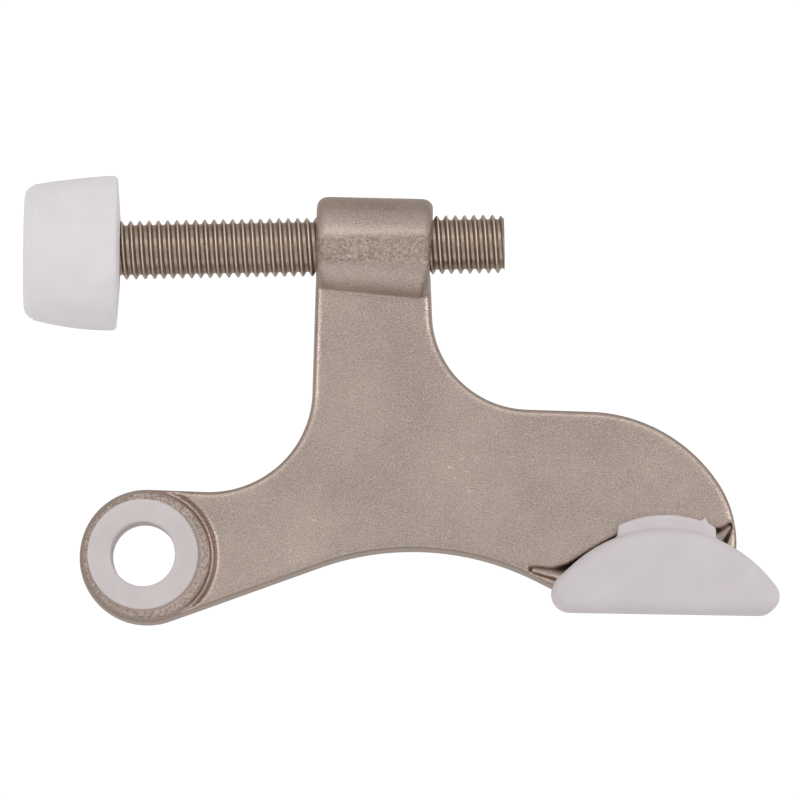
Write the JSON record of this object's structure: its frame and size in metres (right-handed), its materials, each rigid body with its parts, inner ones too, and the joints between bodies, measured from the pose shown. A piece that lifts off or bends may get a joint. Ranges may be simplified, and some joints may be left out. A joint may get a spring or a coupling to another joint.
{
  "type": "door stop",
  "caption": "Hinge-pin door stop: flat cast arm with a bushed eye, a wall bumper on an adjusting screw in a barrel, and a rubber door pad on the other end.",
  "frame": {"origin": "on the hinge pin's axis, halfway through the arm's thickness", "axes": "+Z along the hinge pin, +X along the adjusting screw away from the wall bumper, and the door pad faces -Y"},
  "size_m": [0.1012, 0.0611, 0.021],
  "materials": {
    "plated_casting": "satin nickel plate with a fine cast grain",
    "plated_steel": "bright nickel plate",
    "white_rubber": "matt moulded white",
    "white_nylon": "matt moulded white"
  },
  "bodies": {
    "arm": {"arm_casting": "plated_casting", "upper_bushing": "white_nylon", "lower_bushing": "white_nylon", "door_pad": "white_rubber"},
    "bumper": {"wall_bumper": "white_rubber"},
    "screw": {"adjusting_screw": "plated_steel"}
  },
  "joints": [
    {"name": "screw_travel", "type": "slide", "parent": "arm", "child": "bumper", "axis": [1, 0, 0], "range_m": [-0.0088, 0.0251]},
    {"name": "screw_turn", "type": "hinge", "parent": "bumper", "child": "screw", "pos_m": [0, 0.04125, 0], "axis": [1, 0, 0], "range_deg": [-2520, 7200]}
  ],
  "couplings": [
    {"joint": "screw_travel", "follows": "screw_turn", "m_per_rad": 0.00019894}
  ]
}
